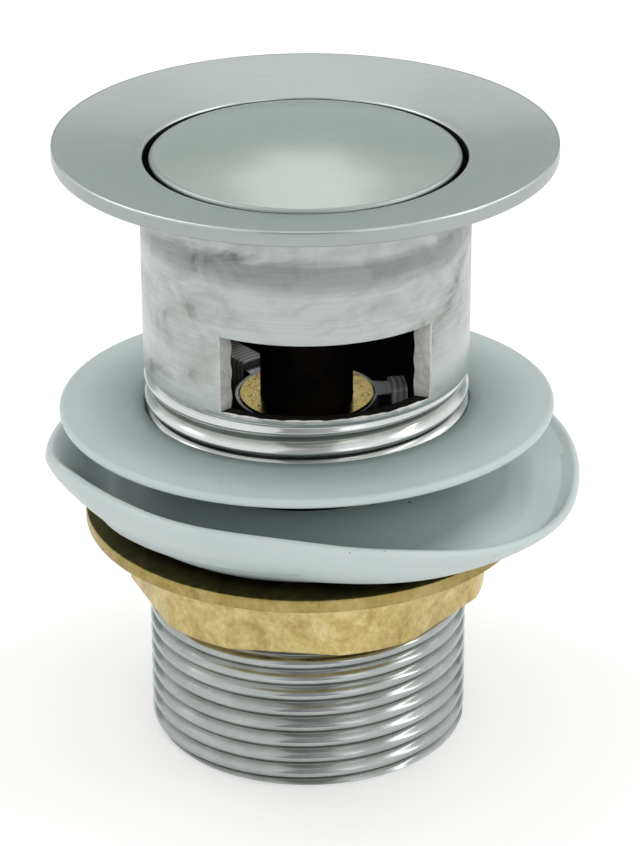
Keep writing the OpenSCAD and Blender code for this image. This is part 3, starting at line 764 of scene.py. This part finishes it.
FLAT_HALF = 0.65
FLAT_MID = (FLAT_LOW + FLAT_TOP) / 2 - 0.1
# Slope up to the front, slope up to the right, and the wave of the rim
FLAT_TILT, FLAT_LEAN, FLAT_WAVE = 0.036, 0.0066, 0.2


def flat_shape(angle, r, z):
    x, y = r * math.cos(angle), r * math.sin(angle)
    wave = FLAT_WAVE * math.cos(2 * angle + 0.5) * (r / FLAT_R) ** 2
    return r, FLAT_MID + z - FLAT_TILT * y + FLAT_LEAN * x + wave


def flat_mesh():
    chamfer = 0.2
    rows = (23, 26, 29)
    profile = (
        [(SLIP_R, chamfer - FLAT_HALF), (SLIP_R + chamfer, -FLAT_HALF)]
        + [(r, -FLAT_HALF) for r in rows]
        + arc((FLAT_R - FLAT_HALF, 0), FLAT_HALF, -90, 90, 10)
        + [(r, FLAT_HALF) for r in rows[::-1]]
        + [(SLIP_R + chamfer, FLAT_HALF), (SLIP_R, FLAT_HALF - chamfer)]
    )
    return lathe(profile, round_angles(300), True, flat_shape)


flat = store("thin_washer", *flat_mesh(), "slip_washer", "white_plastic", [FLAT], sharp=50)
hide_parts("flat_washer")


# Tapered washer: soft, so its rim stands up at the front left and is bent down at the front right

# Azimuth from the front towards the right, rim height and rim radius
RIM = [
    (-180, 39.4, 34.6), (-150, 39.2, 34.4), (-115, 38.6, 34.1), (-90, 39.2, 34.0), (-63, 42.9, 34.1),
    (-48, 43.4, 34.3), (-30, 42.9, 34.3), (-12, 42.9, 34.3), (-1.5, 42.4, 34.3), (10, 41.2, 34.4),
    (22, 40.1, 34.6), (35, 38.2, 34.9), (46, 37.0, 35.1), (64, 35.5, 35.4), (78, 35.6, 35.5),
    (92, 37.4, 35.5), (115, 38.1, 35.2), (145, 38.9, 34.8),
]
# Radius of the foot, top of the core round the bore, and the radius inside which the cup takes its painted
# light and shade
DISH_FOOT_R, DISH_CORE_Z = 24.7, DISH_LOW + 8.2
CUP_R = 33.4


def smooth_ring(column):
    """Rim values at every degree from the front, smoothed so that no corner shows."""
    az = np.array([p[0] for p in RIM], float)
    value = np.array([p[column] for p in RIM], float)
    dense = np.interp(np.arange(360) - 180.0, np.append(az, 180.0), np.append(value, value[0]))
    spread, half = 5.0, 15
    kernel = np.exp(-0.5 * (np.arange(-half, half + 1) / spread) ** 2)
    padded = np.concatenate([dense[-half:], dense, dense[:half]])
    return np.convolve(padded, kernel / kernel.sum(), "valid")


def dish_section(azimuth, rim_z, rim_r):
    """Section of the soft washer at an azimuth: foot, outer wall, rounded rim, valley, core and bore."""
    wall = rim_r - DISH_FOOT_R
    rise = rim_z - DISH_LOW
    # At the right the wall sags, so that it runs out lower before it turns up
    sag = smoothstep(-10, 35, azimuth) * (1 - smoothstep(110, 150, azimuth))
    round_r = 0.65 + 0.25 * smoothstep(37, 43, rim_z)
    outer = bezier(
        (DISH_FOOT_R, DISH_LOW),
        (DISH_FOOT_R + wall * (1 / 3 + sag / 6), DISH_LOW + rise * (1 - sag) / 5),
        (rim_r - wall * (2 - sag) / 12, DISH_LOW + rise * (0.5 - 0.15 * sag)),
        (rim_r, rim_z - round_r), 16,
    )
    # In front the rim drops steeply into the cup, at the sides and the back it slopes gently
    side = smoothstep(50, 85, abs(azimuth))
    turn = 175 - 60 * side
    bow = arc((rim_r - round_r, rim_z - round_r), round_r, 0, turn, 10)[1:]
    end_r, end_z = bow[-1]
    valley_r, valley_z = rim_r - 5 - 2.5 * side, min(DISH_LOW + 3.6, rim_z - 1.2)
    lead = max(1.0, (end_z - valley_z) / 2)
    inner = bezier(
        (end_r, end_z),
        (end_r - lead * math.sin(math.radians(turn)), end_z + lead * math.cos(math.radians(turn))),
        (valley_r + 2, valley_z), (valley_r, valley_z), 10,
    )
    core = bezier(
        (valley_r, valley_z), (valley_r - 3, valley_z),
        (SLIP_R + 2.5, DISH_CORE_Z), (SLIP_R + 0.3, DISH_CORE_Z), 10,
    )
    foot = [(SLIP_R, DISH_LOW + 0.2), (SLIP_R + 0.2, DISH_LOW)]
    return foot + outer + bow + inner[1:] + core[1:] + [(SLIP_R, DISH_CORE_Z - 0.3)]


def dish_mesh():
    rims = zip(smooth_ring(1), smooth_ring(2))
    sections = [dish_section(i - 180, z, r) for i, (z, r) in enumerate(rims)]
    verts = []
    for i, section in enumerate(sections):
        a = math.radians(i - 180.0 - 90.0)
        verts += [(r * math.cos(a), r * math.sin(a), z) for r, z in section]
    return verts, ring_faces(len(sections), len(sections[0]), True)


def dish_part(polygon):
    """Index of the finish: outside, or the cup with its painted light and shade."""
    r = math.hypot(polygon.center.x, polygon.center.y) / MM
    return 1 if polygon.normal.z > 0 and r < CUP_R else 0


dish = store(
    "soft_dish", *dish_mesh(), "soft_washer", "white_rubber", [DISH, CUP], sharp=50, face_material=dish_part
)
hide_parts("tapered_washer")


# Back nut: thin flange on a body with six flats and rounded corners

# Half the width across the flats, radius over the corners, and direction of a flat in degrees
NUT_FLAT, NUT_R, NUT_TURN = 22.3, 23.4, -97.8
FLANGE_UNDER = NUT_TOP - 1.8
# Chamfer at both ends of the bore, and the radius inside which the flats don't draw the nut in
NUT_CHAMFER, NUT_FACE_R = 0.6, 22.0


def nut_columns():
    """Degrees of the nut's columns: one a degree, and two at each end of a flat."""
    flat_half = math.degrees(math.acos(NUT_FLAT / NUT_R))
    ends = {
        round((NUT_TURN + 60 * f + s * flat_half) % 360, 4) for f in range(6) for s in (-1, -0.97, 0.97, 1)
    }
    return sorted(set(range(360)) | ends)


def nut_shape(angle, r, z):
    """Draws the outside of the nut's body in to its six flats."""
    if z < FLANGE_UNDER + 0.01 and NUT_FACE_R < r <= NUT_R + 0.31:
        off = (math.degrees(angle) - NUT_TURN + 30) % 60 - 30
        r += min(NUT_R, NUT_FLAT / math.cos(math.radians(off))) - NUT_R
    return r, z


def nut_mesh():
    foot_r, root_r, under_r = 0.4, 0.3, 0.25
    mid_r = 26.0
    profile = (
        [(SLIP_R, NUT_LOW + NUT_CHAMFER), (21.5, NUT_LOW + 0.05), (22.4, NUT_LOW), (22.9, NUT_LOW)]
        + arc((NUT_R - foot_r, NUT_LOW + foot_r), foot_r, -90, 0, 5)
        + [(NUT_R, NUT_LOW + rise) for rise in (3.0, 6.0)]
        + arc((NUT_R + root_r, FLANGE_UNDER - root_r), root_r, 180, 90, 4)
        + [(mid_r, FLANGE_UNDER)]
        + arc((NUT_FLANGE_R - under_r, FLANGE_UNDER + under_r), under_r, -90, 0, 4)
        + arc((NUT_FLANGE_R - root_r, NUT_TOP - root_r), root_r, 0, 90, 4)
        + [(mid_r, NUT_TOP), (NUT_FACE_R, NUT_TOP), (SLIP_R, NUT_TOP - NUT_CHAMFER)]
    )
    return lathe(profile, [math.radians(a) for a in nut_columns()], True, nut_shape)


def nut_part(polygon):
    """Index of the finish: bright body, darker flange, and a top with the soft washer's shadow painted on.
    """
    c = polygon.center / MM
    # The top under the soft washer takes the painted shadow
    if polygon.normal.z > 0.8 and c.z > NUT_TOP - 0.3:
        return 2
    return 1 if math.hypot(c.x, c.y) > NUT_R + 1.5 else 0


nut = store(
    "flanged_nut", *nut_mesh(), "nut", "brass", [BRASS, DARKER_BRASS, SHADOWED_BRASS],
    sharp=40, face_material=nut_part,
)
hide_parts("back_nut")


# Finishes of the solids that are kept as they are

FINISHES = {
    "plug_seal": BLACK_RUBBER, "plunger_o_ring": BLACK_RUBBER,
    "seal_plate": BRASS, "plug_lock_nut": BRASS, "gland_nut": BRASS, "housing_foot_plug": BRASS,
    "hub_bush": HUB_BRASS, "hub_lock_nut": BRASS,
    "plunger": STEEL, "thrust_washer": STEEL, "rotor_clip": STEEL, "return_spring": STEEL,
    "guide_pin": STEEL, "hub_washer": STEEL,
    "cam_rotor": ACETAL, "plunger_bush": ACETAL, "cartridge_housing": HOUSING_SHADE,
}
for name, material in FINISHES.items():
    nodes[name].data.materials.clear()
    nodes[name].data.materials.append(material)

# The spring is copied as a plain mesh with its transform baked, in place of its CAD node
solid = nodes["return_spring"]
spring = bpy.data.objects.new("coil_spring", solid.data.copy())
scene.collection.objects.link(spring)
spring.matrix_world = solid.matrix_world
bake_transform(spring)
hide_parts("return_spring")


# Floor, light and camera

# Level of the world where it lights the object, and how much the floor is lifted where it is looked at
WORLD_LIGHT, FLOOR_LIFT = 0.72, 0.28
FLOOR_HALF = 3.0
WHITE, GREY = (0.9, 0.9, 0.9), (0.5, 0.5, 0.5)
# The plating mirrors cards that stand this far behind and in front of the object
CARD_Y = 0.75
# Cards behind the object: left, right, lower and upper edge, and colour. The low one is wide
BACK_CARDS = [(-0.9, 0.9, 0.02, 0.415, (0.60, 0.655, 0.65))]
# Above it a gap is left in the middle, and the cards beside the gap get paler upwards
CARD_END = 0.36
for gap, low, high, colour in (
    (0.045, 0.415, 0.49, (0.69, 0.72, 0.71)),
    (0.085, 0.49, 0.59, (0.78, 0.79, 0.78)),
    (0.07, 0.59, 0.70, (0.82, 0.82, 0.81)),
):
    BACK_CARDS += [(-CARD_END, -gap, low, high, colour), (gap, CARD_END, low, high, colour)]
# Point that the lights look at
AIM = Vector((0, 0, 0.05))
# Camera at the photograph's height, distance and tilt, with its angles in radians
LENS, SENSOR = 140.77, 36.0
PITCH_DOWN, YAW, ROLL = 0.4444, 0.00397, 0.0037
CAMERA_PLACE = (0.00016, -0.38787, 0.22697)


def looked_at(tree):
    """1 for rays from the camera and rays that a surface reflects or lets through, else 0."""
    path = tree.nodes.new("ShaderNodeLightPath").outputs
    seen = path["Is Camera Ray"]
    for name in ("Is Glossy Ray", "Is Transmission Ray"):
        n = tree.nodes.new("ShaderNodeMath")
        n.operation = "MAXIMUM"
        tree.links.new(seen, n.inputs[0])
        tree.links.new(path[name], n.inputs[1])
        seen = n.outputs["Value"]
    return seen


def white_world():
    world = bpy.data.worlds.new("studio")
    world.use_nodes = True
    tree = world.node_tree
    lit = tree.nodes["Background"]
    lit.inputs["Color"].default_value = (WORLD_LIGHT, WORLD_LIGHT, WORLD_LIGHT, 1)
    white = tree.nodes.new("ShaderNodeBackground")
    white.inputs["Color"].default_value = (1, 1, 1, 1)
    mix = tree.nodes.new("ShaderNodeMixShader")
    tree.links.new(looked_at(tree), mix.inputs["Fac"])
    tree.links.new(lit.outputs[0], mix.inputs[1])
    tree.links.new(white.outputs[0], mix.inputs[2])
    tree.links.new(mix.outputs[0], tree.nodes["World Output"].inputs["Surface"])
    scene.world = world


def stage_sheet(name, corners, colour, lift=0.0, camera=True):
    """A flat sheet of the studio that may glow a little where it is looked at. One that the camera doesn't
    see only shows in reflections."""
    mesh = bpy.data.meshes.new(name)
    mesh.from_pydata(corners, [], [(0, 1, 2, 3)])
    material = bpy.data.materials.new(name)
    material.use_nodes = True
    tree = material.node_tree
    shader = tree.nodes["Principled BSDF"]
    shader.inputs["Base Color"].default_value = (*colour, 1)
    shader.inputs["Roughness"].default_value = 0.95
    shader.inputs["Emission Color"].default_value = (1, 1, 1, 1)
    if lift:
        glow = tree.nodes.new("ShaderNodeMath")
        glow.operation = "MULTIPLY"
        glow.inputs[1].default_value = lift
        tree.links.new(looked_at(tree), glow.inputs[0])
        tree.links.new(glow.outputs["Value"], shader.inputs["Emission Strength"])
    mesh.materials.append(material)
    obj = bpy.data.objects.new(name, mesh)
    scene.collection.objects.link(obj)
    if not camera:
        obj.visible_camera = False
        obj.visible_shadow = False
        obj.visible_diffuse = False


def floor_corners(half):
    return [(-half, -half, 0), (half, -half, 0), (half, half, 0), (-half, half, 0)]


def upright(y, left, right, low, high):
    return [(left, y, low), (right, y, low), (right, y, high), (left, y, high)]


def softbox(name, azimuth, elevation, distance, size, watts):
    """A soft light that looks at the object from an azimuth (front to right) and an elevation."""
    light = bpy.data.lights.new(name, "AREA")
    light.shape = "RECTANGLE"
    light.size, light.size_y = size
    light.energy = watts
    obj = bpy.data.objects.new(name, light)
    az, el = math.radians(azimuth), math.radians(elevation)
    away = Vector((math.sin(az) * math.cos(el), -math.cos(az) * math.cos(el), math.sin(el)))
    obj.location = AIM + away * distance
    obj.rotation_euler = (-away).to_track_quat("-Z", "Y").to_euler()
    scene.collection.objects.link(obj)


def photo_camera():
    camera = bpy.data.cameras.new("camera")
    camera.lens = LENS
    camera.sensor_width = SENSOR
    camera.clip_start, camera.clip_end = 0.01, 20.0
    view = bpy.data.objects.new("camera", camera)
    scene.collection.objects.link(view)
    across = math.cos(PITCH_DOWN)
    ahead = Vector((math.sin(YAW) * across, math.cos(YAW) * across, -math.sin(PITCH_DOWN)))
    rolled = Matrix.Rotation(-ROLL, 3, "Z").to_quaternion()
    view.rotation_mode = "QUATERNION"
    view.rotation_quaternion = ahead.to_track_quat("-Z", "Y") @ rolled
    view.location = CAMERA_PLACE
    scene.camera = view


white_world()
stage_sheet("floor", floor_corners(FLOOR_HALF), WHITE, FLOOR_LIFT)
for number, (*edges, colour) in enumerate(BACK_CARDS):
    stage_sheet(f"back_card_{number}", upright(CARD_Y, *edges), colour, camera=False)
stage_sheet("front_card", upright(-CARD_Y, -0.3, 0.3, 0.0, 1.6), GREY, camera=False)
softbox("left", azimuth=-115, elevation=52, distance=0.7, size=(0.25, 0.4), watts=0.7)
softbox("right", azimuth=118, elevation=48, distance=0.7, size=(0.16, 0.4), watts=0.5)
softbox("side", azimuth=80, elevation=35, distance=0.8, size=(0.1, 0.45), watts=0.5)
softbox("front", azimuth=12, elevation=32, distance=1.0, size=(0.9, 0.5), watts=0.9)
photo_camera()
scene.view_settings.view_transform = "Standard"
